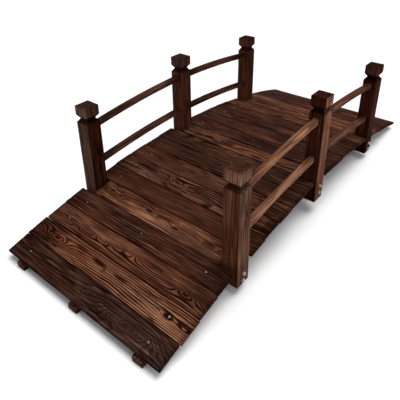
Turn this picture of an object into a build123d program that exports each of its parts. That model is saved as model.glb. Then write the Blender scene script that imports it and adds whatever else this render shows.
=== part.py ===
from build123d import *
import math
import os

# Wooden garden moon bridge: three arched stringers carry a deck of flat planks,
# three posts stand against each outer stringer, and two bowed rails run in each
# bay between them.
# Millimetres. +X runs along the walkway, +Y to its left side, +Z up.
# Origin: on the ground, under the middle of the bridge.

# ---- driving dimensions -------------------------------------------------
LENGTH = 1500.0             # over the stringer ends
DECK_CROWN = 131.0          # top of the deck at the middle, above the ground
DECK_RADIUS = 2735.0        # radius of the walking surface
PLANK_COUNT = 21
PLANK_LENGTH = 601.0        # across the bridge
PLANK_THICKNESS = 10.0
PLANK_GAP = 1.9
PLANK_EASE = 1.4            # rounding of the plank edges
DECK_SETBACK = 7.0          # stringer ends reach this far past the first plank

STRINGER_THICKNESS = 32.0
STRINGER_DEPTH = 53.0
STRINGER_SPACING = 235.0    # middle stringer to outer stringer, centre to centre
STRINGER_NOSE = 3.0         # chamfer on the upper corner of each end

POST_SIZE = 50.0
POST_ABOVE_DECK = 284.0
POST_BELOW_DECK_END = 69.0
POST_BELOW_DECK_MIDDLE = 81.0
POST_HEAD = 30.0            # plain block above the groove
POST_GROOVE_HEIGHT = 26.0
POST_GROOVE_DEPTH = 9.5
POST_EASE = 1.6             # rounding of the upright corners
POST_CLEARANCE = 1.5        # short planks stop this far from the posts
POST_PLANKS = (5, 11, 17)   # planks that are cut short to pass between posts

RAIL_HEIGHT = 20.0
RAIL_THICKNESS = 15.5
RAIL_BOW = 6.5              # rise of each rail over its straight chord
RAIL_UPPER = 207.0          # rail centre above the deck, at the posts
RAIL_LOWER = 75.5
RAIL_EASE = 1.8
MORTISE = 12.0              # depth each rail end is let into its post

# Length of each plank end past the nominal one, left and right: the boards
# were cut and laid by hand, so their ends step in and out a little.
END_LEFT = (0.0, 1.6, -1.2, 0.8, 0.0, -0.6, 1.8, 0.4, -1.6, 0.9, 0.0,
            1.2, -0.8, 0.5, 1.6, -1.1, 0.0, 0.7, -0.5, 1.3, -0.4)
END_RIGHT = (-1.4, 2.2, 0.2, -1.0, 0.0, 1.6, -0.6, 2.0, 0.6, -1.2, 0.0,
             0.9, 1.8, -1.0, 0.3, 1.1, 0.0, -0.9, 1.4, 0.1, -0.7)

# ---- derived ------------------------------------------------------------
SEAT_RADIUS = DECK_RADIUS - PLANK_THICKNESS       # top edge of the stringers
SEAT_CROWN = DECK_CROWN - PLANK_THICKNESS
ARC_CENTRE_Z = DECK_CROWN - DECK_RADIUS
SOFFIT_RADIUS = SEAT_RADIUS - STRINGER_DEPTH
HALF = LENGTH / 2.0
DECK_HALF_ANGLE = math.asin((HALF - DECK_SETBACK) / SEAT_RADIUS)
PLANK_ANGLE = 2.0 * DECK_HALF_ANGLE / PLANK_COUNT
PLANK_WIDTH = PLANK_ANGLE * SEAT_RADIUS - PLANK_GAP
OUTER_FACE = STRINGER_SPACING + STRINGER_THICKNESS / 2.0   # posts stand here
POST_Y = OUTER_FACE + POST_SIZE / 2.0
MIDDLE_PLANK = (PLANK_COUNT + 1) // 2


def plank_tilt(number):
    return (number - MIDDLE_PLANK) * PLANK_ANGLE


def deck_z(x):
    return ARC_CENTRE_Z + math.sqrt(DECK_RADIUS ** 2 - x ** 2)


def arc_z(radius, x):
    return ARC_CENTRE_Z + math.sqrt(radius ** 2 - x ** 2)


# ---- stringers ----------------------------------------------------------
def stringer(y):
    foot_x = math.sqrt(SOFFIT_RADIUS ** 2 - ARC_CENTRE_Z ** 2)
    nose_x = HALF - STRINGER_NOSE
    nose_z = arc_z(SEAT_RADIUS, nose_x)
    end_z = nose_z - STRINGER_NOSE
    with BuildPart() as body:
        with BuildSketch(Plane.XZ):
            with BuildLine():
                ThreePointArc((-nose_x, nose_z), (0, SEAT_CROWN), (nose_x, nose_z))
                Line((nose_x, nose_z), (HALF, end_z))
                Line((HALF, end_z), (HALF, 0))
                Line((HALF, 0), (foot_x, 0))
                ThreePointArc((foot_x, 0), (0, SEAT_CROWN - STRINGER_DEPTH), (-foot_x, 0))
                Line((-foot_x, 0), (-HALF, 0))
                Line((-HALF, 0), (-HALF, end_z))
                Line((-HALF, end_z), (-nose_x, nose_z))
            make_face()
        extrude(amount=STRINGER_THICKNESS / 2.0, both=True)
    return body.part.moved(Location((0, y, 0)))


# ---- deck planks --------------------------------------------------------
def plank(number):
    if number in POST_PLANKS:
        left = right = OUTER_FACE - POST_CLEARANCE
    else:
        left = PLANK_LENGTH / 2.0 + END_LEFT[number - 1]
        right = PLANK_LENGTH / 2.0 + END_RIGHT[number - 1]
    board = Box(PLANK_WIDTH, left + right, PLANK_THICKNESS)
    board = fillet(board.edges(), PLANK_EASE)
    tilt = plank_tilt(number)
    mid_radius = SEAT_RADIUS + PLANK_THICKNESS / 2.0
    place = Location(
        (mid_radius * math.sin(tilt), (left - right) / 2.0,
         ARC_CENTRE_Z + mid_radius * math.cos(tilt)),
        (0, math.degrees(tilt), 0))
    return board.moved(place)


# ---- posts --------------------------------------------------------------
def post_x(number):
    return SEAT_RADIUS * math.sin(plank_tilt(number))


def grooved_profile(plane, bottom, top):
    half = POST_SIZE / 2.0
    neck = half - POST_GROOVE_DEPTH
    e = POST_EASE
    g_top = top - POST_HEAD
    g_mid = g_top - POST_GROOVE_HEIGHT / 2.0
    g_bot = g_top - POST_GROOVE_HEIGHT
    right = [(half - e, bottom), (half, bottom + e), (half, g_bot), (neck, g_mid),
             (half, g_top), (half, top - e), (half - e, top)]
    points = right + [(-a, b) for a, b in reversed(right)]
    with BuildPart() as body:
        with BuildSketch(plane):
            with BuildLine():
                Polyline(*points, close=True)
            make_face()
        extrude(amount=POST_SIZE, both=True)
    return body.part


def post(number, side, housed):
    x = post_x(number)
    below = POST_BELOW_DECK_MIDDLE if number == MIDDLE_PLANK else POST_BELOW_DECK_END
    bottom = deck_z(x) - below
    top = deck_z(x) + POST_ABOVE_DECK
    blank = Box(POST_SIZE, POST_SIZE, top - bottom)
    blank = fillet(blank.edges().filter_by(Axis.Z), POST_EASE)
    blank = blank.moved(Location((0, 0, (top + bottom) / 2.0)))
    shaped = blank & grooved_profile(Plane.XZ, bottom, top)
    shaped = shaped & grooved_profile(Plane.YZ, bottom, top)
    shaped = shaped.moved(Location((x, side * POST_Y, 0)))
    for rail_solid in housed:
        shaped = shaped - rail_solid
    return shaped


# ---- rails --------------------------------------------------------------
def rail(from_plank, to_plank, side, above_deck):
    xa, xb = post_x(from_plank), post_x(to_plank)
    za, zb = deck_z(xa) + above_deck, deck_z(xb) + above_deck
    inset = POST_SIZE / 2.0 - MORTISE
    x0, x1 = xa + inset, xb - inset
    slope = (zb - za) / (xb - xa)

    def line_z(x):
        u = (x - x0) / (x1 - x0)
        return za + slope * (x - xa) + 4.0 * RAIL_BOW * u * (1.0 - u)

    xm = (x0 + x1) / 2.0
    y = side * POST_Y
    path = ThreePointArc((x0, y, line_z(x0)), (xm, y, line_z(xm)), (x1, y, line_z(x1)))
    end = Plane(origin=path @ 0, x_dir=(0, 1, 0), z_dir=path % 0)
    section = end * RectangleRounded(RAIL_THICKNESS, RAIL_HEIGHT, RAIL_EASE)
    return sweep(section, path=path)


# ---- the assembly -------------------------------------------------------
nodes = {}
nodes["stringer_left"] = stringer(STRINGER_SPACING)
nodes["stringer_middle"] = stringer(0.0)
nodes["stringer_right"] = stringer(-STRINGER_SPACING)

for n in range(1, PLANK_COUNT + 1):
    nodes["deck_plank_%02d" % n] = plank(n)

front_n, middle_n, rear_n = POST_PLANKS
for side_name, side in (("left", 1.0), ("right", -1.0)):
    bays = {}
    for level_name, level in (("upper", RAIL_UPPER), ("lower", RAIL_LOWER)):
        front_rail = rail(front_n, middle_n, side, level)
        rear_rail = mirror(front_rail, about=Plane.YZ)
        for bay_name, solid in (("front", front_rail), ("rear", rear_rail)):
            bays[(bay_name, level_name)] = solid
            nodes["rail_%s_%s_%s" % (side_name, bay_name, level_name)] = solid
    front_rails = [bays[("front", "upper")], bays[("front", "lower")]]
    rear_rails = [bays[("rear", "upper")], bays[("rear", "lower")]]
    nodes["post_%s_front" % side_name] = post(front_n, side, front_rails)
    nodes["post_%s_middle" % side_name] = post(middle_n, side, front_rails + rear_rails)
    nodes["post_%s_rear" % side_name] = post(rear_n, side, rear_rails)

os.makedirs("parts", exist_ok=True)
for name, solid in nodes.items():
    export_step(solid, "parts/%s.step" % name)
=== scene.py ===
import math
import random

import bmesh
import bpy
from mathutils import Matrix, Vector, noise


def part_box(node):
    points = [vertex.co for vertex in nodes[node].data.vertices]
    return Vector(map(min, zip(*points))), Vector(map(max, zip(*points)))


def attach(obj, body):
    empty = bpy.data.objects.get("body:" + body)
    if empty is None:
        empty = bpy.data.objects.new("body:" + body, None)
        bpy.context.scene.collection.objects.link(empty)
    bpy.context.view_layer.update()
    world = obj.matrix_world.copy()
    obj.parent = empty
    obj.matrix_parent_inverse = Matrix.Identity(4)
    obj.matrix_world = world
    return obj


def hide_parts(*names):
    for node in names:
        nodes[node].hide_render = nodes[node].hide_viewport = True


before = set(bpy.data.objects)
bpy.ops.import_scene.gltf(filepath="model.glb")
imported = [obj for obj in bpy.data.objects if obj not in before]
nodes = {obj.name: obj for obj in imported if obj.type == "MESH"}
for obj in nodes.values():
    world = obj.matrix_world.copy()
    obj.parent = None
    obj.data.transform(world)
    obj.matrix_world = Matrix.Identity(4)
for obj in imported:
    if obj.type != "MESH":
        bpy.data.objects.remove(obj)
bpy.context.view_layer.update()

scene = bpy.context.scene

# ------------------------------------------------------------------ sizes (m)
DECK_R, CROWN, T = 2.735, 0.131, 0.010
SEAT_R = DECK_R - T
CENTRE_Z = CROWN - DECK_R
COUNT, MIDDLE = 21, 11
SPACING, STRINGER_T = 0.235, 0.032
POST = 0.050
SETBACK = 0.007
STEP = 2.0 * math.asin((0.75 - SETBACK) / SEAT_R) / COUNT
WIDTH = STEP * SEAT_R - 0.0019
POST_Y = SPACING + STRINGER_T / 2 + POST / 2
OUTER = POST_Y + POST / 2
SHORT = (5, 11, 17)


def tilt_of(n):
    return (n - MIDDLE) * STEP


def post_x(n):
    return SEAT_R * math.sin(tilt_of(n))


def plank_axes(n):
    """Length, width and thickness directions of a plank, and its middle."""
    a = tilt_of(n)
    along = Vector((0.0, 1.0, 0.0))
    across = Vector((-math.cos(a), 0.0, math.sin(a)))
    up = Vector((math.sin(a), 0.0, math.cos(a)))
    mid = Vector((0.0, 0.0, CENTRE_Z)) + up * (SEAT_R + T / 2)
    return (along, across, up), mid


def screw_rows(n):
    """Across-the-deck positions of a plank's three screws, over the stringers."""
    side = 0.2275 if n in SHORT else SPACING
    return side, 0.0, -side


def screw_spots():
    """Each plank's screws as (along, across) in mm from its middle line."""
    rng = random.Random(11)
    return {n: [(y * 1000.0 + rng.uniform(-1.5, 1.5), rng.uniform(-1.8, 1.8)) for y in screw_rows(n)]
            for n in range(1, COUNT + 1)}


SCREWS = screw_spots()


# ------------------------------------------------------------------ materials
def lin(r, g, b):
    out = []
    for c in (r, g, b):
        c /= 255.0
        out.append(c / 12.92 if c <= 0.04045 else ((c + 0.055) / 1.055) ** 2.4)
    return (*out, 1.0)


class Tree:
    """Short names for building a node tree."""

    def __init__(self, name):
        self.mat = bpy.data.materials.new(name)
        self.mat.use_nodes = True
        self.nt = self.mat.node_tree
        self.bsdf = self.nt.nodes["Principled BSDF"]

    def new(self, kind):
        return self.nt.nodes.new(kind)

    def put(self, socket, value):
        if isinstance(value, bpy.types.NodeSocket):
            self.nt.links.new(value, socket)
        else:
            socket.default_value = value

    def math(self, op, a, b=None, c=None, clamp=False):
        n = self.new("ShaderNodeMath")
        n.operation = op
        n.use_clamp = clamp
        for i, v in enumerate((a, b, c)):
            if v is not None:
                self.put(n.inputs[i], v)
        return n.outputs[0]

    def add(self, *terms):
        out = terms[0]
        for t in terms[1:]:
            out = self.math("ADD", out, t)
        return out

    def mul(self, a, b):
        return self.math("MULTIPLY", a, b)

    def vec(self, op, a, b=None, c=None):
        n = self.new("ShaderNodeVectorMath")
        n.operation = op
        for i, v in enumerate((a, b, c)):
            if v is not None:
                self.put(n.inputs[i], v)
        return n.outputs["Value"] if op in ("LENGTH", "DOT_PRODUCT") else n.outputs["Vector"]

    def noise(self, where, scale, offset, detail=2.0, rough=0.5, colour=False, distort=0.0):
        n = self.new("ShaderNodeTexNoise")
        n.inputs["Scale"].default_value = 1.0
        n.inputs["Detail"].default_value = detail
        n.inputs["Roughness"].default_value = rough
        n.inputs["Distortion"].default_value = distort
        self.put(n.inputs["Vector"], self.vec("MULTIPLY_ADD", where, scale, offset))
        return n.outputs["Color" if colour else "Fac"]

    def smooth(self, value, a, b, lo=0.0, hi=1.0):
        n = self.new("ShaderNodeMapRange")
        n.interpolation_type = "SMOOTHSTEP"
        self.put(n.inputs["Value"], value)
        n.inputs["From Min"].default_value = a
        n.inputs["From Max"].default_value = b
        n.inputs["To Min"].default_value = lo
        n.inputs["To Max"].default_value = hi
        return n.outputs["Result"]

    def ramp(self, value, stops, mode="LINEAR"):
        n = self.new("ShaderNodeValToRGB")
        e = n.color_ramp.elements
        n.color_ramp.interpolation = mode
        while len(e) > 1:
            e.remove(e[-1])
        e[0].position = stops[0][0]
        e[0].color = stops[0][1]
        for pos, col in stops[1:]:
            s = e.new(pos)
            s.color = col
        self.put(n.inputs["Fac"], value)
        return n.outputs["Color"]

    def mix(self, fac, a, b):
        n = self.new("ShaderNodeMix")
        n.data_type = "RGBA"
        self.put(n.inputs["Factor"], fac)
        self.put(n.inputs[6], a)
        self.put(n.inputs[7], b)
        return n.outputs[2]

    def split(self, v):
        n = self.new("ShaderNodeSeparateXYZ")
        self.put(n.inputs[0], v)
        return n.outputs


BROWN = ((0.00, lin(15, 5, 2)), (0.22, lin(36, 18, 11)), (0.45, lin(58, 37, 28)),
         (0.68, lin(92, 62, 49)), (1.00, lin(148, 109, 85)))
RED = ((0.00, lin(17, 4, 1)), (0.22, lin(44, 16, 7)), (0.45, lin(70, 36, 23)),
       (0.68, lin(105, 61, 39)), (1.00, lin(160, 106, 67)))
ASH = ((0.00, lin(12, 8, 7)), (0.22, lin(32, 23, 20)), (0.45, lin(57, 43, 38)),
       (0.68, lin(92, 73, 66)), (1.00, lin(150, 122, 108)))
RING = ((0.00, (0.04,) * 3 + (1,)), (0.46, (0.10,) * 3 + (1,)), (0.70, (0.66,) * 3 + (1,)),
        (0.84, (1.0,) * 3 + (1,)), (0.93, (0.92,) * 3 + (1,)), (1.00, (0.04,) * 3 + (1,)))


def wood(name, axes, mid, tone=0.45, ring=0.5, gap=6.0, pith=(20.0, -40.0), slope=0.02,
         warp=10.0, knots=(), fibre=0.60, streak=0.30, patch=0.16, red=0.5, seed=0.0,
         half=None, ends=0.0, faces=(), painted_shade_rings=(), dark_bands=(), cracks=0.30, rough=0.72, grain=0.115,
         fade=0.0, tilt=0.0, marks=(), caps=(), seam=None):
    """Dark-stained softwood sawn from a log. Coordinates are in mm along, across and
    through the piece, so grain, growth rings, knots and end grain belong to that piece."""
    t = Tree(name)
    coord = t.new("ShaderNodeTexCoord")
    place = t.new("ShaderNodeMapping")
    rows = Matrix((axes[0], axes[1], axes[2]))
    place.inputs["Scale"].default_value = (1000.0,) * 3
    place.inputs["Rotation"].default_value = rows.to_euler("XYZ")
    place.inputs["Location"].default_value = -(rows @ mid) * 1000.0
    t.put(place.inputs["Vector"], coord.outputs["Object"])
    here = place.outputs["Vector"]
    s = seed * 17.31
    off = lambda k: (s + 3.7 * k, s * 0.7 - 5.1 * k, s * 1.3 + 2.9 * k)

    # the log's own wander along its length, then the distance from its pith
    bend = t.vec("SUBTRACT", t.noise(here, (0.0052, 0.010, 0.010), off(1), 1.6, 0.45, True), (0.5, 0.5, 0.5))
    bent = t.vec("MULTIPLY_ADD", bend, (0.0, warp * 1.4, warp * 4.4), here)
    u, v, w = t.split(bent)
    dv = t.math("SUBTRACT", v, pith[0])
    dw = t.math("SUBTRACT", w, t.math("MULTIPLY_ADD", u, slope, pith[1]))
    r = t.math("SQRT", t.add(t.mul(dv, dv), t.mul(dw, dw)))
    core = None
    for ku, kv, size, lift, dark in knots:
        du = t.mul(t.math("SUBTRACT", u, ku), 0.26)
        dk = t.math("SUBTRACT", v, kv)
        d = t.math("DIVIDE", t.math("SQRT", t.add(t.mul(du, du), t.mul(dk, dk))), size)
        swell = t.math("DIVIDE", lift, t.math("MULTIPLY_ADD", t.mul(d, d), 1.6, 1.0))
        r = t.add(r, swell)
        if dark:
            spot = t.smooth(d, 0.22, 0.70, dark, 0.0)
            core = spot if core is None else t.math("MAXIMUM", core, spot)
    jitter = t.noise(here, (0.0028, 0.06, 0.06), off(2), 2.0)
    phase = t.math("MULTIPLY_ADD", r, 1.0 / gap, t.mul(jitter, 1.2))
    rings = t.ramp(t.math("FRACT", phase), RING)
    where = t.smooth(t.noise(here, (0.006, 0.02, 0.02), off(3), 1.0), 0.32, 0.60, 0.35, 1.0)
    rings_here = t.mul(rings, where)

    fine = t.noise(bent, (0.0075, grain, grain), off(4), 5.0, 0.74)
    broad = t.noise(bent, (0.0080, 0.060, 0.060), off(5), 2.0, 0.55)
    blotch = t.noise(here, (0.0050, 0.016, 0.016), off(6), 2.0, 0.5)
    split = t.math("ABSOLUTE", t.math("SUBTRACT", t.noise(here, (0.0032, 0.10, 0.10), off(7), 2.0, 0.6), 0.5))
    split = t.smooth(split, 0.004, 0.034, 1.0, 0.0)
    split = t.mul(split, t.smooth(t.noise(here, (0.006, 0.03, 0.03), off(8), 1.0), 0.48, 0.60))

    level = t.math("MULTIPLY_ADD", rings_here, -ring, tone + ring * 0.36)
    level = t.math("MULTIPLY_ADD", t.math("SUBTRACT", fine, 0.5), fibre * 2.0, level)
    level = t.math("MULTIPLY_ADD", t.math("SUBTRACT", broad, 0.5), streak * 2.0, level)
    level = t.math("MULTIPLY_ADD", t.math("SUBTRACT", blotch, 0.5), patch * 2.0, level)
    level = t.math("MULTIPLY_ADD", split, -cracks, level)
    if core is not None:
        level = t.math("SUBTRACT", level, core)
    hu, hv, hw = t.split(here)
    if fade:
        level = t.math("MULTIPLY_ADD", hu, fade / 300.0, level)
    if seam:
        edge = t.math("SUBTRACT", seam, t.math("ABSOLUTE", hv))
        level = t.math("SUBTRACT", level, t.smooth(edge, -0.5, 2.4, 0.15, 0.0))
    if tilt:
        level = t.math("MULTIPLY_ADD", hv, tilt / 35.0, level)
    for mu, mv, ru, rv, amount in marks:
        du = t.math("DIVIDE", t.math("SUBTRACT", u, mu), ru)
        dk = t.math("DIVIDE", t.math("SUBTRACT", hv, mv), rv)
        d = t.math("SQRT", t.add(t.mul(du, du), t.mul(dk, dk)))
        d = t.math("MULTIPLY_ADD", t.math("SUBTRACT", fine, 0.5), 1.1, d)
        level = t.math("SUBTRACT", level, t.smooth(d, 0.35, 1.0, amount, 0.0))
    if half and ends:
        away = t.math("SUBTRACT", half, t.math("ABSOLUTE", hu))
        edge = t.math("MULTIPLY_ADD", t.math("SUBTRACT", fine, 0.5), -16.0, away)
        level = t.math("SUBTRACT", level, t.smooth(edge, -1.0, 14.0, ends, 0.0))
    # painted shade: a dark ring round each screw and bolt head, where the countersink and washer would shade the
    # wood
    for hx, hy in painted_shade_rings:
        dx = t.math("SUBTRACT", hu, hx)
        dy = t.math("SUBTRACT", hv, hy)
        d = t.math("SQRT", t.add(t.mul(dx, dx), t.mul(dy, dy)))
        level = t.math("SUBTRACT", level, t.smooth(d, 3.6, 9.5, 0.22, 0.0))
    hue = t.math("MULTIPLY_ADD", t.math("SUBTRACT", t.noise(here, (0.003, 0.02, 0.02), off(9), 2.0), 0.5), 1.6, red)
    # darker bands across the piece: near plank and rail ends, and on the posts at the neck groove and towards the
    # foot
    for at, reach, amount, shift in dark_bands:
        d = t.math("ABSOLUTE", t.math("SUBTRACT", hu, at))
        d = t.math("MULTIPLY_ADD", t.math("SUBTRACT", fine, 0.5), 9.0, d)
        band = t.smooth(d, reach * 0.55, reach, 1.0, 0.0)
        level = t.math("MULTIPLY_ADD", band, -amount, level)
        hue = t.math("MULTIPLY_ADD", band, shift, hue)
    # each listed face made lighter or darker; on the posts this is partly their stain and partly painted light and
    # shade for how the lamps fall on that face
    for axis, amount, shift in faces:
        hit = t.smooth(t.vec("DOT_PRODUCT", coord.outputs["Normal"], tuple(axis)), 0.45, 0.8)
        level = t.math("MULTIPLY_ADD", hit, amount, level)
        hue = t.math("MULTIPLY_ADD", hit, shift, hue)

    # the post head's faces: partly stain, partly painted light and shade on its top and sides
    if caps:
        head = t.smooth(hu, half - 38.0, half - 30.0)
        for axis, amount, shift in caps:
            hit = t.smooth(t.vec("DOT_PRODUCT", coord.outputs["Normal"], tuple(axis)), 0.45, 0.8)
            hit = t.mul(hit, head)
            level = t.math("MULTIPLY_ADD", hit, amount, level)
            hue = t.math("MULTIPLY_ADD", hit, shift, hue)
    warm = t.math("MAXIMUM", hue, 0.0, clamp=True)
    cool = t.math("MULTIPLY", hue, -1.0, clamp=True)
    colour = t.mix(warm, t.ramp(level, BROWN), t.ramp(level, RED))
    colour = t.mix(cool, colour, t.ramp(level, ASH))
    t.put(t.bsdf.inputs["Base Color"], colour)
    t.put(t.bsdf.inputs["Roughness"], t.math("MULTIPLY_ADD", t.math("SUBTRACT", fine, 0.5), 0.4, rough, clamp=True))
    t.bsdf.inputs["Specular IOR Level"].default_value = 0.012

    height = t.math("MULTIPLY_ADD", rings_here, 0.55, t.mul(fine, 0.9))
    height = t.math("MULTIPLY_ADD", split, -1.6, height)
    bump = t.new("ShaderNodeBump")
    bump.inputs["Strength"].default_value = 1.15
    bump.inputs["Distance"].default_value = 0.0007
    t.put(bump.inputs["Height"], height)
    t.put(t.bsdf.inputs["Normal"], bump.outputs["Normal"])
    return t.mat


def wear(obj, mat):
    obj.data.materials.clear()
    obj.data.materials.append(mat)


# ---- deck planks: tone, figure and knots of each board, front to rear
K = {
    1: dict(grain=0.24, tone=0.299, ring=0.24, gap=4.2, slope=0.012, warp=4, pith=(-30, -60), red=-0.19, patch=0.10,
            streak=0.15, fibre=0.8,
            knots=((-168, 0, 25, 44, 0.0),),
            dark_bands=((300, 330, 0.03, 0.22),)),
    2: dict(patch=0.1, cracks=0.45, grain=0.22, tone=0.256, ring=1.46, gap=6.0, slope=0.030, warp=8, pith=(62, -14), red=0.5, streak=0.15,
            fade=-0.09, tilt=0.10, fibre=0.6,
            knots=((205, 2, 17, 40, 0.0), (-236, 3, 8, 14, 0.50), (-288, 10, 15, 20, 0.0)),
            marks=((28, -10, 34, 9, 0.46), (-58, -6, 30, 7, 0.38), (110, -18, 40, 9, 0.20), (-236, 2, 22, 12, 0.30)),
            dark_bands=((300, 130, 0.20, 0.0),)),
    3: dict(grain=0.22, tone=0.352, ring=0.74, gap=4.6, slope=0.014, warp=5, pith=(-54, -22), red=0.52, fibre=0.55,
            knots=((78, 2, 11, 26, 0.0), (-20, -4, 11, 20, 0.0), (-232, 4, 12, 26, 0.0), (190, 12, 9, 12, 0.10)),
            dark_bands=((-300, 75, 0.07, 0.0),)),
    4: dict(patch=0.1, cracks=0.18, grain=0.22, tone=0.328, ring=0.36, gap=6.4, slope=0.008, warp=6, pith=(80, -50), red=0.42, fibre=0.66,
            dark_bands=((-300, 95, 0.08, 0.0),)),
    5: dict(fade=0.05, patch=0.06, grain=0.22, tone=0.435, ring=0.68, gap=5.2, slope=0.010, warp=7, pith=(40, -20), red=0.50, cracks=0.6, fibre=0.75,
            knots=((190, 0, 10, 18, 0.10), (-190, 4, 10, 20, 0.15), (40, -4, 7, 10, 0.45), (-70, 6, 7, 10, 0.35))),
    6: dict(patch=0.22, streak=0.13, grain=0.24, tone=0.322, ring=0.26, gap=6.6, slope=0.016, warp=8, pith=(-60, -50), red=0.5, fibre=0.50),
    7: dict(patch=0.22, streak=0.13, grain=0.24, tone=0.318, ring=0.7, gap=6.8, slope=0.020, warp=9, pith=(24, -30), red=0.1, fibre=0.9,
            knots=((58, -5, 11, 24, 0.20),),
            marks=((196, -12, 52, 11, 0.26),), dark_bands=((-300, 34, 0.22, 0.0),)),
    8: dict(patch=0.22, streak=0.13, grain=0.24, tone=0.415, ring=0.34, gap=6.6, slope=0.012, warp=8, pith=(-34, -40), red=0.4),
    9: dict(fibre=0.8, patch=0.22, streak=0.13, grain=0.3, tone=0.297, ring=0.34, gap=7.0, slope=0.020, warp=9, pith=(50, -44), red=0.12),
    10: dict(fibre=0.72, patch=0.22, streak=0.13, grain=0.3, tone=0.3, ring=0.40, gap=7.4, slope=0.016, warp=9, pith=(-22, -36), red=0.22,
             knots=((-140, 6, 10, 14, 0.35),)),
    11: dict(patch=0.22, streak=0.13, grain=0.24, tone=0.382, ring=0.52, gap=7.6, slope=0.014, warp=8, pith=(18, -30), red=0.38, fibre=0.75,
             knots=((60, 4, 10, 16, 0.35), (-120, -6, 9, 12, 0.30), (190, 6, 9, 12, 0.30))),
    12: dict(patch=0.22, streak=0.13, grain=0.3, tone=0.245, ring=0.40, gap=7.8, slope=0.010, warp=7, pith=(60, -44), red=0.15, fibre=1.05),
    13: dict(patch=0.22, streak=0.13, grain=0.3, tone=0.275, ring=0.38, gap=7.8, slope=0.010, warp=7, pith=(-70, -44), red=0.34, fibre=1.05),
    14: dict(patch=0.22, streak=0.13, grain=0.3, tone=0.304, ring=0.42, gap=8.2, slope=0.016, warp=8, pith=(20, -44), red=0.42, fibre=0.95,
             knots=((150, 5, 10, 13, 0.30),)),
    15: dict(patch=0.22, streak=0.13, grain=0.3, tone=0.270, ring=0.38, gap=8.0, slope=0.012, warp=7, pith=(-40, -50), red=0.55, fibre=0.80),
    16: dict(patch=0.22, streak=0.13, grain=0.24, tone=0.35, ring=0.55, gap=8.4, slope=0.016, warp=8, pith=(36, -44), red=0.56, fibre=1.0),
    17: dict(patch=0.22, streak=0.13, grain=0.24, tone=0.385, ring=0.7, gap=9.0, slope=0.020, warp=9, pith=(-6, -40), red=0.80, fade=-0.08, fibre=1.0,
             knots=((-110, 0, 11, 14, 0.35), (80, 6, 10, 11, 0.30))),
    18: dict(patch=0.22, streak=0.13, grain=0.24, tone=0.345, ring=0.95, gap=9.0, slope=0.015, warp=8, pith=(44, -44), red=0.62, fibre=1.1),
    19: dict(patch=0.22, streak=0.13, grain=0.24, tone=0.250, ring=0.40, gap=9.0, slope=0.016, warp=8, pith=(-36, -44), red=0.80, fibre=0.80),
    20: dict(patch=0.22, streak=0.13, grain=0.24, tone=0.175, ring=0.46, gap=9.0, slope=0.018, warp=8, pith=(14, -44), red=0.90, fibre=0.80),
    21: dict(patch=0.22, streak=0.13, grain=0.24, tone=0.200, ring=0.42, gap=9.0, slope=0.014, warp=8, pith=(-22, -44), red=0.85, fibre=0.80),
}


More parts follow.
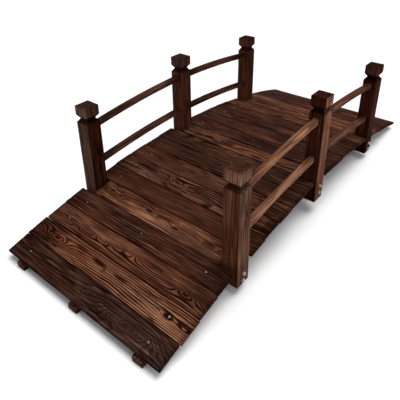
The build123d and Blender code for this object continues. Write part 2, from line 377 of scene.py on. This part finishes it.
def board(n, mat):
    """A sawn board in the plank's place: sides that wander a little, knocked corners,
    checks in the ends, raised grain on top and a countersink under each screw.
    Its underside stays flat on the stringers."""
    (along, across, up), mid = plank_axes(n)
    lo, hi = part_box("deck_plank_%02d" % n)
    u0, u1 = lo.y * 1000.0, hi.y * 1000.0
    hv, hw, e = WIDTH * 500.0, T * 500.0, 1.4
    rng = random.Random(500 + n)

    # outline across the board: position and outward direction, once round
    line = []
    tops = 34
    for k in range(tops + 1):
        line.append((-hv + e + (2 * hv - 2 * e) * k / tops, hw, 0.0, 1.0))
    for a in (60, 30):
        c, q = math.cos(math.radians(a)), math.sin(math.radians(a))
        line.append((hv - e + e * c, hw - e + e * q, c, q))
    for k in range(4):
        line.append((hv, hw - e - (2 * hw - 2 * e) * k / 3, 1.0, 0.0))
    line.append((hv - e * 0.3, -hw + e * 0.3, 0.7, -0.7))
    for k in range(9):
        line.append((hv - e - (2 * hv - 2 * e) * k / 8, -hw, 0.0, -1.0))
    line.append((-hv + e * 0.3, -hw + e * 0.3, -0.7, -0.7))
    for k in range(4):
        line.append((-hv, -hw + e + (2 * hw - 2 * e) * k / 3, -1.0, 0.0))
    for a in (30, 60):
        c, q = math.cos(math.radians(a)), math.sin(math.radians(a))
        line.append((-hv + e - e * c, hw - e + e * q, -c, q))

    # stations along the board, closer at the screws and the ends
    marks = []
    x = u0 + e
    while x < u1 - e:
        marks.append(x)
        near = min(abs(x - su) for su, sv in SCREWS[n])
        end = min(x - u0, u1 - x)
        x += 1.3 if near < 7.0 else 2.2 if end < 26.0 else 4.6
    marks.append(u1 - e)
    rings = []
    for a in (0, 35, 65):
        q = math.radians(a)
        rings.append((u0 + e * (1 - math.cos(q)), e * (1 - math.sin(q))))
    rings += [(m, 0.0) for m in marks]
    for a in (65, 35, 0):
        q = math.radians(a)
        rings.append((u1 - e * (1 - math.cos(q)), e * (1 - math.sin(q))))

    nicks = [(rng.uniform(u0, u1), rng.choice((-1.0, 1.0)), rng.uniform(3.0, 11.0), rng.uniform(0.4, 1.3))
             for _ in range(9)]
    checks = [(rng.uniform(-hv + 7, hv - 7), side, rng.uniform(9.0, 26.0), rng.uniform(0.7, 1.4))
              for side in (-1, 1) for _ in range(rng.choice((1, 2, 2, 3)))]
    s = n * 7.31

    def push(u, v, nv, nw):
        d = 0.0
        if nw > 0.3:
            d += 0.15 * noise.noise(Vector((u * 0.010 + s, v * 0.33, s)))
            d += 0.10 * noise.noise(Vector((u * 0.022 - s, v * 0.80, s + 4.0)))
            d += 0.22 * noise.noise(Vector((u * 0.009, v * 0.025 + s, s - 2.0))) - 0.12
            for su, sv in SCREWS[n]:
                q = math.hypot(u - su, v - sv) / 5.0
                if q < 1.0:
                    d -= 1.0 * (1.0 - q * q)
            for vc, side, reach, deep in checks:
                away = (u - u0) if side < 0 else (u1 - u)
                if away < reach and abs(v - vc - 0.05 * away) < 1.25:
                    d -= deep * (1.0 - away / reach)
        if n == 6 and nv > 0.3 and u > 250.0:
            d += min(6.5, (u - 250.0) * 2.0)     # left full where it runs past the post
        if n == 2 and nv < -0.3 and u > 262.0:
            d -= min(2.4, (u - 262.0) * 0.09)     # the joint opens towards this end
        if abs(nv) > 0.3:
            d += 0.40 * noise.noise(Vector((u * 0.011 + s, nv * 3.0, s * 2.0))) - (0.25 if n > 5 else -0.20)
            d += 0.14 * noise.noise(Vector((u * 0.060, nv * 5.0 + s, 1.0)))
            if nw > -0.2:
                for uc, side, reach, deep in nicks:
                    if side * nv > 0 and abs(u - uc) < reach:
                        d -= deep * (0.35 + 0.65 * max(0.0, nw)) * (1.0 - ((u - uc) / reach) ** 2)
        return d

    verts, faces = [], []
    count = len(line)
    for u, inset in rings:
        for v, w, nv, nw in line:
            d = push(u, v, nv, nw) - inset
            pv, pw = v + d * nv, w + d * nw
            p = mid + across * (pv / 1000.0) + up * (pw / 1000.0)
            p.y = u / 1000.0
            verts.append(p)
    for r in range(len(rings) - 1):
        a, b = r * count, (r + 1) * count
        for k in range(count):
            q = (k + 1) % count
            faces.append((a + k, a + q, b + q, b + k))
    faces.append(tuple(reversed(range(count))))
    last = (len(rings) - 1) * count
    faces.append(tuple(range(last, last + count)))
    mesh = bpy.data.meshes.new("board_%02d" % n)
    mesh.from_pydata(verts, [], faces)
    bm = bmesh.new()
    bm.from_mesh(mesh)
    bmesh.ops.recalc_face_normals(bm, faces=bm.faces)
    bm.to_mesh(mesh)
    bm.free()
    mesh.polygons.foreach_set("use_smooth", [True] * len(mesh.polygons))
    mesh.set_sharp_from_angle(angle=math.radians(42))
    mesh.materials.append(mat)
    obj = bpy.data.objects.new("board_%02d" % n, mesh)
    scene.collection.objects.link(obj)
    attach(obj, "root")
    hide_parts("deck_plank_%02d" % n)
    return obj


for n in range(1, COUNT + 1):
    axes, mid = plank_axes(n)
    half = 249.5 if n in SHORT else 300.5
    # each plank gets painted shade rings round its three screw heads
    mat = wood("plank_wood_%02d" % n, axes, mid, seed=n, half=half, ends=0.16,
               seam=WIDTH * 500.0, painted_shade_rings=SCREWS[n], **K[n])
    wear(nodes["deck_plank_%02d" % n], mat)
    board(n, mat)

# ---- stringers: one long board each
for i, (side, y) in enumerate((("left", SPACING), ("middle", 0.0), ("right", -SPACING))):
    wear(nodes["stringer_" + side],
         wood("stringer_wood_" + side, (Vector((1, 0, 0)), Vector((0, 0, 1)), Vector((0, -1, 0))),
              Vector((0, y, 0.07)), tone=0.36, ring=0.45, gap=5.5, slope=0.010, warp=9,
              pith=(-10 + 8 * i, -40), seed=40 + i, half=750.0, ends=0.10, red=0.15,
              faces=(((-1, 0, 0), 0.12, -0.5), ((1, 0, 0), 0.12, -0.5)),
              knots=((-310 + 90 * i, 10, 12, 11, 0.35), (240, -14, 11, 10, 0.30))))

# ---- posts: upright boxed heart, each face given its own tone, partly burnt to its own depth and partly painted light and shade
NX, NY, PZ = (-1, 0, 0), (0, -1, 0), (0, 0, 1)
POST_TONE_AND_LIGHT = {     # tone, then (face, lift, hue) for the whole post and for its head; the lifts are partly stain and partly painted light and shade
    ("left", "front"): (0.37, ((NY, -0.18, -0.1), (NX, 0.10, -0.75)), ((NX, 0.16, -0.4), (NY, 0.24, -0.6), (PZ, 0.0, -1.0))),
    ("left", "middle"): (0.36, ((NY, -0.06, 0.2), (NX, 0.04, 0.1)), ((NX, -0.01, -0.9), (NY, 0.05, -0.5), (PZ, -0.08, -1.0))),
    ("left", "rear"): (0.37, ((NY, -0.06, 0.0), (NX, 0.05, 0.7)), ((NX, -0.02, -0.6), (NY, 0.0, -0.2), (PZ, -0.14, -0.5))),
    ("right", "front"): (0.385, ((NY, 0.18, -0.9), (NX, 0.075, 0.0)), ((NX, 0.24, -0.5), (NY, 0.05, 0.0), (PZ, 0.06, -0.3))),
    ("right", "middle"): (0.31, ((NY, 0.31, -0.2), (NX, -0.10, 0.3)), ((NX, -0.03, 0.5), (NY, 0.03, 0.1), (PZ, -0.03, -0.1))),
    ("right", "rear"): (0.27, ((NY, -0.04, 0.2), (NX, -0.10, 0.9)), ((NX, 0.26, -1.3), (NY, 0.0, 0.2), (PZ, -0.08, -0.4))),
}
for i, ((side, place), (tone, faces, caps)) in enumerate(POST_TONE_AND_LIGHT.items()):
    node = "post_%s_%s" % (side, place)
    lo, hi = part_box(node)
    half = (hi.z - lo.z) * 500.0
    wear(nodes[node],
         wood("post_wood_%s_%s" % (side, place),
              (Vector((0, 0, 1)), Vector((1, 0, 0)), Vector((0, 1, 0))), (lo + hi) / 2,
              tone=tone, ring=0.26, gap=5.0, slope=0.006, warp=2, streak=0.16, cracks=0.14,
              pith=(9 - 3 * i, -60 + 7 * i), seed=60 + i, red=0.62, fibre=0.60, grain=0.26,
              half=half, ends=0.08, faces=faces, caps=caps,
              # painted shade rings round the two bolt heads on each post
              painted_shade_rings=[(d - half, 0.0) for d in ((28.0, 52.0) if place == "middle" else (13.0, 37.0))],
              # a darker, cooler band at the neck groove under the head, and darker towards the foot
              dark_bands=((half - 44.0, 13.0, 0.26, -0.5), (-half, 95.0, 0.09, 0.0)),
              knots=((-40 + 30 * i, 4, 7, 8, 0.25),)))

# ---- rails: slim bowed sticks; those on the right are the paler ones
RAIL_TONE = {
    ("left", "front", "upper"): 0.43, ("left", "front", "lower"): 0.52,
    ("left", "rear", "upper"): 0.38, ("left", "rear", "lower"): 0.44,
    ("right", "front", "upper"): 0.77, ("right", "front", "lower"): 0.81,
    ("right", "rear", "upper"): 0.52, ("right", "rear", "lower"): 0.58,
}
i = 0
for side in ("left", "right"):
    for bay in ("front", "rear"):
        for level in ("upper", "lower"):
            node = "rail_%s_%s_%s" % (side, bay, level)
            lo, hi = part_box(node)
            rise = math.atan2((hi.z - lo.z) - 0.020, hi.x - lo.x) * (1 if bay == "front" else -1)
            along = Vector((math.cos(rise), 0, math.sin(rise)))
            up = Vector((-math.sin(rise), 0, math.cos(rise)))
            tone = RAIL_TONE[side, bay, level]
            wear(nodes[node],
                 wood("rail_wood_%s_%s_%s" % (side, bay, level), (along, up, Vector((0, -1, 0))),
                      (lo + hi) / 2, tone=tone, ring=0.22, gap=5.0, slope=0.006, warp=4, grain=0.26, streak=0.27, cracks=0.14,
                      pith=(-30 + 9 * i, -20), seed=80 + i, red=0.08, fibre=0.62, patch=0.22,
                      half=(hi.x - lo.x) * 500.0, ends=0.0,
                      dark_bands=[(e * (hi.x - lo.x) * 500.0, 90.0, 0.12, 0.0) for e in (-1.0, 1.0)],
                      faces=((up, -0.10, 0.2),)))
            i += 1


def zinc(name, dull, stain, cover, shine=1.0):
    t = Tree(name)
    coord = t.new("ShaderNodeTexCoord")
    grime = t.noise(coord.outputs["Object"], (260.0,) * 3, (1.7, 0.3, 4.1), 3.0, 0.6)
    streaks = t.noise(coord.outputs["Object"], (900.0, 900.0, 120.0), (0.2, 7.3, 1.1), 2.0, 0.6)
    mixv = t.math("MULTIPLY_ADD", t.math("SUBTRACT", grime, 0.5), 1.6, t.mul(streaks, 0.6))
    # stain left on the heads by the brush, more on some than on others
    brushed = t.smooth(t.noise(coord.outputs["Object"], (9.3,) * 3, (0.4, 2.2, 0.9), 1.0), cover, cover + 0.16, stain, 0.0)
    clean = t.mul(brushed, t.smooth(grime, 0.2, 0.7, 1.0, 0.55))
    t.put(t.bsdf.inputs["Base Color"],
          t.mix(clean, t.ramp(mixv, [(at, lin(r * shine, g * shine, b * shine)) for at, r, g, b in (
              (0.0, 120, 112, 102), (0.35, 176, 170, 160), (0.7, 226, 222, 214), (1.0, 244, 242, 238))]),
                lin(74, 48, 36)))
    t.put(t.bsdf.inputs["Roughness"], t.math("MULTIPLY_ADD", grime, 0.35, dull, clamp=True))
    t.bsdf.inputs["Metallic"].default_value = 1.0
    return t.mat


SCREW_ZINC = zinc("screw_zinc", 0.30, 0.9, 0.34, 0.72)
SCREW_STAINED = zinc("screw_zinc_stained", 0.46, 1.45, 0.90)
BOLT_ZINC = zinc("bolt_zinc", 0.20, 0.3, 0.42)
BOLT_STAINED = zinc("bolt_zinc_stained", 0.36, 0.62, 0.90)
# heads that the stain brush covered, row by row
STAINED = {"left": (2, 5, 9, 10, 11, 13, 16, 17, 18, 19, 20, 21),
           "middle": (1, 2, 3, 5, 6, 7, 8, 9, 10, 11, 12, 13, 14, 15, 16, 17, 18, 20, 21),
           "right": (3, 5, 7, 8, 10, 11, 12, 13, 15, 16, 17, 18, 20, 21)}


def build(name, bm, mat):
    mesh = bpy.data.meshes.new(name)
    bmesh.ops.recalc_face_normals(bm, faces=bm.faces)
    bm.to_mesh(mesh)
    bm.free()
    mesh.materials.append(mat)
    obj = bpy.data.objects.new(name, mesh)
    scene.collection.objects.link(obj)
    for p in mesh.polygons:
        p.use_smooth = True
    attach(obj, "root")
    return obj


# ---- deck screws: countersunk heads with a cross recess
def screw_head(bm, where, rot, radius=0.0035):
    n = 14
    grid = []
    for i in range(n + 1):
        row = []
        for j in range(n + 1):
            a, b = 2.0 * i / n - 1.0, 2.0 * j / n - 1.0
            x, y = a * math.sqrt(1 - b * b / 2), b * math.sqrt(1 - a * a / 2)
            rr = min(1.0, math.hypot(x, y))
            z = 0.00045 - 0.00035 * rr ** 3
            arm = max(min((0.17 - abs(x)) / 0.08, (0.62 - abs(y)) / 0.12),
                      min((0.17 - abs(y)) / 0.08, (0.62 - abs(x)) / 0.12))
            z -= 0.0011 * max(0.0, min(1.0, arm))
            row.append(bm.verts.new(where @ (rot @ Vector((x * radius, y * radius, z)))))
        grid.append(row)
    for i in range(n):
        for j in range(n):
            bm.faces.new((grid[i][j], grid[i + 1][j], grid[i + 1][j + 1], grid[i][j + 1]))
    rim = ([grid[i][0] for i in range(n)] + [grid[n][j] for j in range(n)]
           + [grid[i][n] for i in range(n, 0, -1)] + [grid[0][j] for j in range(n, 0, -1)])
    inv = where.inverted()
    low = []
    for vtx in rim:
        p = inv @ vtx.co
        low.append(bm.verts.new(where @ Vector((p.x * 0.72, p.y * 0.72, -0.0014))))
    for k in range(len(rim)):
        q = (k + 1) % len(rim)
        bm.faces.new((rim[k], low[k], low[q], rim[q]))
    bm.faces.new(low)


rng = random.Random(23)
for k, row in enumerate(("left", "middle", "right")):
    bm = bmesh.new()
    for n in range(1, COUNT + 1):
        (along, across, up), mid = plank_axes(n)
        su, sv = SCREWS[n][k]
        at = mid + up * (T / 2 - 0.00065) + across * (sv / 1000.0)
        at.y = su / 1000.0
        where = Matrix((across, up.cross(across), up)).transposed().to_4x4()
        where.translation = at
        screw_head(bm, where, Matrix.Rotation(rng.uniform(0, math.pi / 2), 3, "Z"))
    each = len(bm.faces) // COUNT
    screws = build("deck_screws_" + row, bm, SCREW_ZINC)
    screws.data.materials.append(SCREW_STAINED)
    for k2, face in enumerate(screws.data.polygons):
        face.material_index = 1 if k2 // each + 1 in STAINED[row] else 0


# ---- post bolts: washer and hexagon head outside, washer, nut and thread end inside
def ring_stack(bm, where, rings, sides, turn=0.0):
    """Closed solid from rings of (radius, height), each with the same number of sides."""
    loops = []
    for radius, z in rings:
        loops.append([bm.verts.new(where @ Vector((radius * math.cos(turn + 2 * math.pi * k / sides),
                                                   radius * math.sin(turn + 2 * math.pi * k / sides), z)))
                      for k in range(sides)])
    for a, b in zip(loops, loops[1:]):
        for k in range(sides):
            q = (k + 1) % sides
            bm.faces.new((a[k], a[q], b[q], b[k]))
    bm.faces.new(list(reversed(loops[0])))
    bm.faces.new(loops[-1])


def hex_round(bm, where, flat, z0, z1, turn):
    """Hexagon head or nut with its corners turned down at the outer face."""
    sides = 36
    loops = []
    for z, cut in ((z0, 1.0), (z1 - 0.0010, 1.0), (z1 - 0.0003, 0.35), (z1, 0.0)):
        loop = []
        for k in range(sides):
            a = 2 * math.pi * k / sides
            hexr = flat / math.cos((a % (math.pi / 3)) - math.pi / 6)
            r = flat * 0.97 + (hexr - flat * 0.97) * cut
            if cut == 0.0:
                r = flat * 0.90
            loop.append(bm.verts.new(where @ Vector((r * math.cos(a + turn), r * math.sin(a + turn), z))))
        loops.append(loop)
    for a, b in zip(loops, loops[1:]):
        for k in range(sides):
            q = (k + 1) % sides
            bm.faces.new((a[k], a[q], b[q], b[k]))
    bm.faces.new(list(reversed(loops[0])))
    bm.faces.new(loops[-1])


for side, sy in (("left", 1.0), ("right", -1.0)):
    bm = bmesh.new()
    for place, n in (("front", 5), ("middle", 11), ("rear", 17)):
        lo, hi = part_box("post_%s_%s" % (side, place))
        x = post_x(n)
        base = lo.z + (0.028 if n == 11 else 0.013)
        for z in (base, base + 0.024):
            out = Vector((0, sy, 0))
            up = Vector((0, 0, 1))
            across = up.cross(out)
            jig = Vector((rng.uniform(-0.001, 0.001), 0, rng.uniform(-0.001, 0.001)))
            head = Matrix((across, up, out)).transposed().to_4x4()
            head.translation = Vector((x, sy * OUTER, z)) + jig
            ring_stack(bm, head, ((0.0068, -0.0002), (0.0068, 0.0008), (0.0064, 0.0012)), 32)
            hex_round(bm, head, 0.0050, 0.0011, 0.0052, rng.uniform(0, 1.0))
            inner = Matrix((across * -1.0, up, out * -1.0)).transposed().to_4x4()
            inner.translation = Vector((x, sy * (SPACING - STRINGER_T / 2), z)) + jig
            ring_stack(bm, inner, ((0.0068, -0.0002), (0.0068, 0.0008), (0.0064, 0.0012)), 32)
            hex_round(bm, inner, 0.0050, 0.0011, 0.0060, rng.uniform(0, 1.0))
            ring_stack(bm, inner, ((0.0030, 0.0055), (0.0030, 0.0100), (0.0024, 0.0108)), 20)
    bolts = build("post_bolts_" + side, bm, BOLT_ZINC)
    bolts.data.materials.append(BOLT_STAINED)
    each = len(bolts.data.polygons) // 6
    for k2, face in enumerate(bolts.data.polygons):
        face.use_smooth = False
        face.material_index = 1 if k2 // each in (2, 3) or k2 % each < 66 else 0

# ------------------------------------------------------------------ studio
floor_bm = bmesh.new()
bmesh.ops.create_grid(floor_bm, x_segments=8, y_segments=8, size=14.0)
floor_mesh = bpy.data.meshes.new("floor")
floor_bm.to_mesh(floor_mesh)
floor_bm.free()
floor = bpy.data.objects.new("floor", floor_mesh)
scene.collection.objects.link(floor)
fm = bpy.data.materials.new("floor_paper")
fm.use_nodes = True
fb = fm.node_tree.nodes["Principled BSDF"]
fb.inputs["Base Color"].default_value = (0.80, 0.80, 0.80, 1)
fb.inputs["Roughness"].default_value = 0.9
fb.inputs["Specular IOR Level"].default_value = 0.0
floor_mesh.materials.append(fm)

world = bpy.data.worlds.new("studio")
scene.world = world
world.use_nodes = True
wt = world.node_tree
sky = wt.nodes.new("ShaderNodeTexCoord")
sky_xyz = wt.nodes.new("ShaderNodeSeparateXYZ")
sky_ramp = wt.nodes.new("ShaderNodeMapRange")
sky_ramp.inputs["From Min"].default_value = 0.0
sky_ramp.inputs["From Max"].default_value = 0.6
sky_ramp.inputs["To Min"].default_value = 1.35
sky_ramp.inputs["To Max"].default_value = 0.35
wt.links.new(sky.outputs["Generated"], sky_xyz.inputs[0])
wt.links.new(sky_xyz.outputs["Z"], sky_ramp.inputs["Value"])
wt.links.new(sky_ramp.outputs["Result"], wt.nodes["Background"].inputs["Strength"])
wt.nodes["Background"].inputs["Color"].default_value = (1.0, 1.0, 1.0, 1)


def softbox(name, at, to, size, watts):
    light = bpy.data.lights.new(name, "AREA")
    light.shape = "RECTANGLE"
    light.size, light.size_y = size
    light.energy = watts
    obj = bpy.data.objects.new(name, light)
    scene.collection.objects.link(obj)
    obj.location = at
    obj.rotation_euler = (Vector(to) - Vector(at)).to_track_quat("-Z", "Y").to_euler()


key = bpy.data.lights.new("key_light", "SUN")
key.energy = 3.1
key.angle = math.radians(42.0)
key_obj = bpy.data.objects.new("key_light", key)
scene.collection.objects.link(key_obj)
key_obj.location = (0.66, -0.48, 3.0)
key_obj.rotation_euler = Vector((-0.22, 0.16, -1.0)).to_track_quat("-Z", "Y").to_euler()
softbox("side_softbox", (0.4, -3.2, 1.9), (0, 0, 0.2), (2.6, 1.6), 20.0)

scene.view_settings.view_transform = "Standard"
scene.view_settings.look = "None"

# ------------------------------------------------------------------ camera
cam = bpy.data.cameras.new("camera")
camera = bpy.data.objects.new("camera", cam)
scene.collection.objects.link(camera)
az, el, roll = (math.radians(a) for a in (-50.609, 27.047, -0.678))
back = Vector((math.sin(az) * math.cos(el), -math.cos(az) * math.cos(el), math.sin(el)))
right = Vector((math.cos(az), math.sin(az), 0.0))
up = back.cross(right)
r2 = right * math.cos(roll) + up * math.sin(roll)
u2 = up * math.cos(roll) - right * math.sin(roll)
pose = Matrix((r2, u2, back)).transposed().to_4x4()
pose.translation = Vector((-1.17723, -0.77771, 0.96238))
camera.matrix_world = pose
cam.sensor_width = 36.0
cam.lens = 41.432
cam.shift_y = -0.20
cam.clip_start, cam.clip_end = 0.05, 60.0
scene.camera = camera
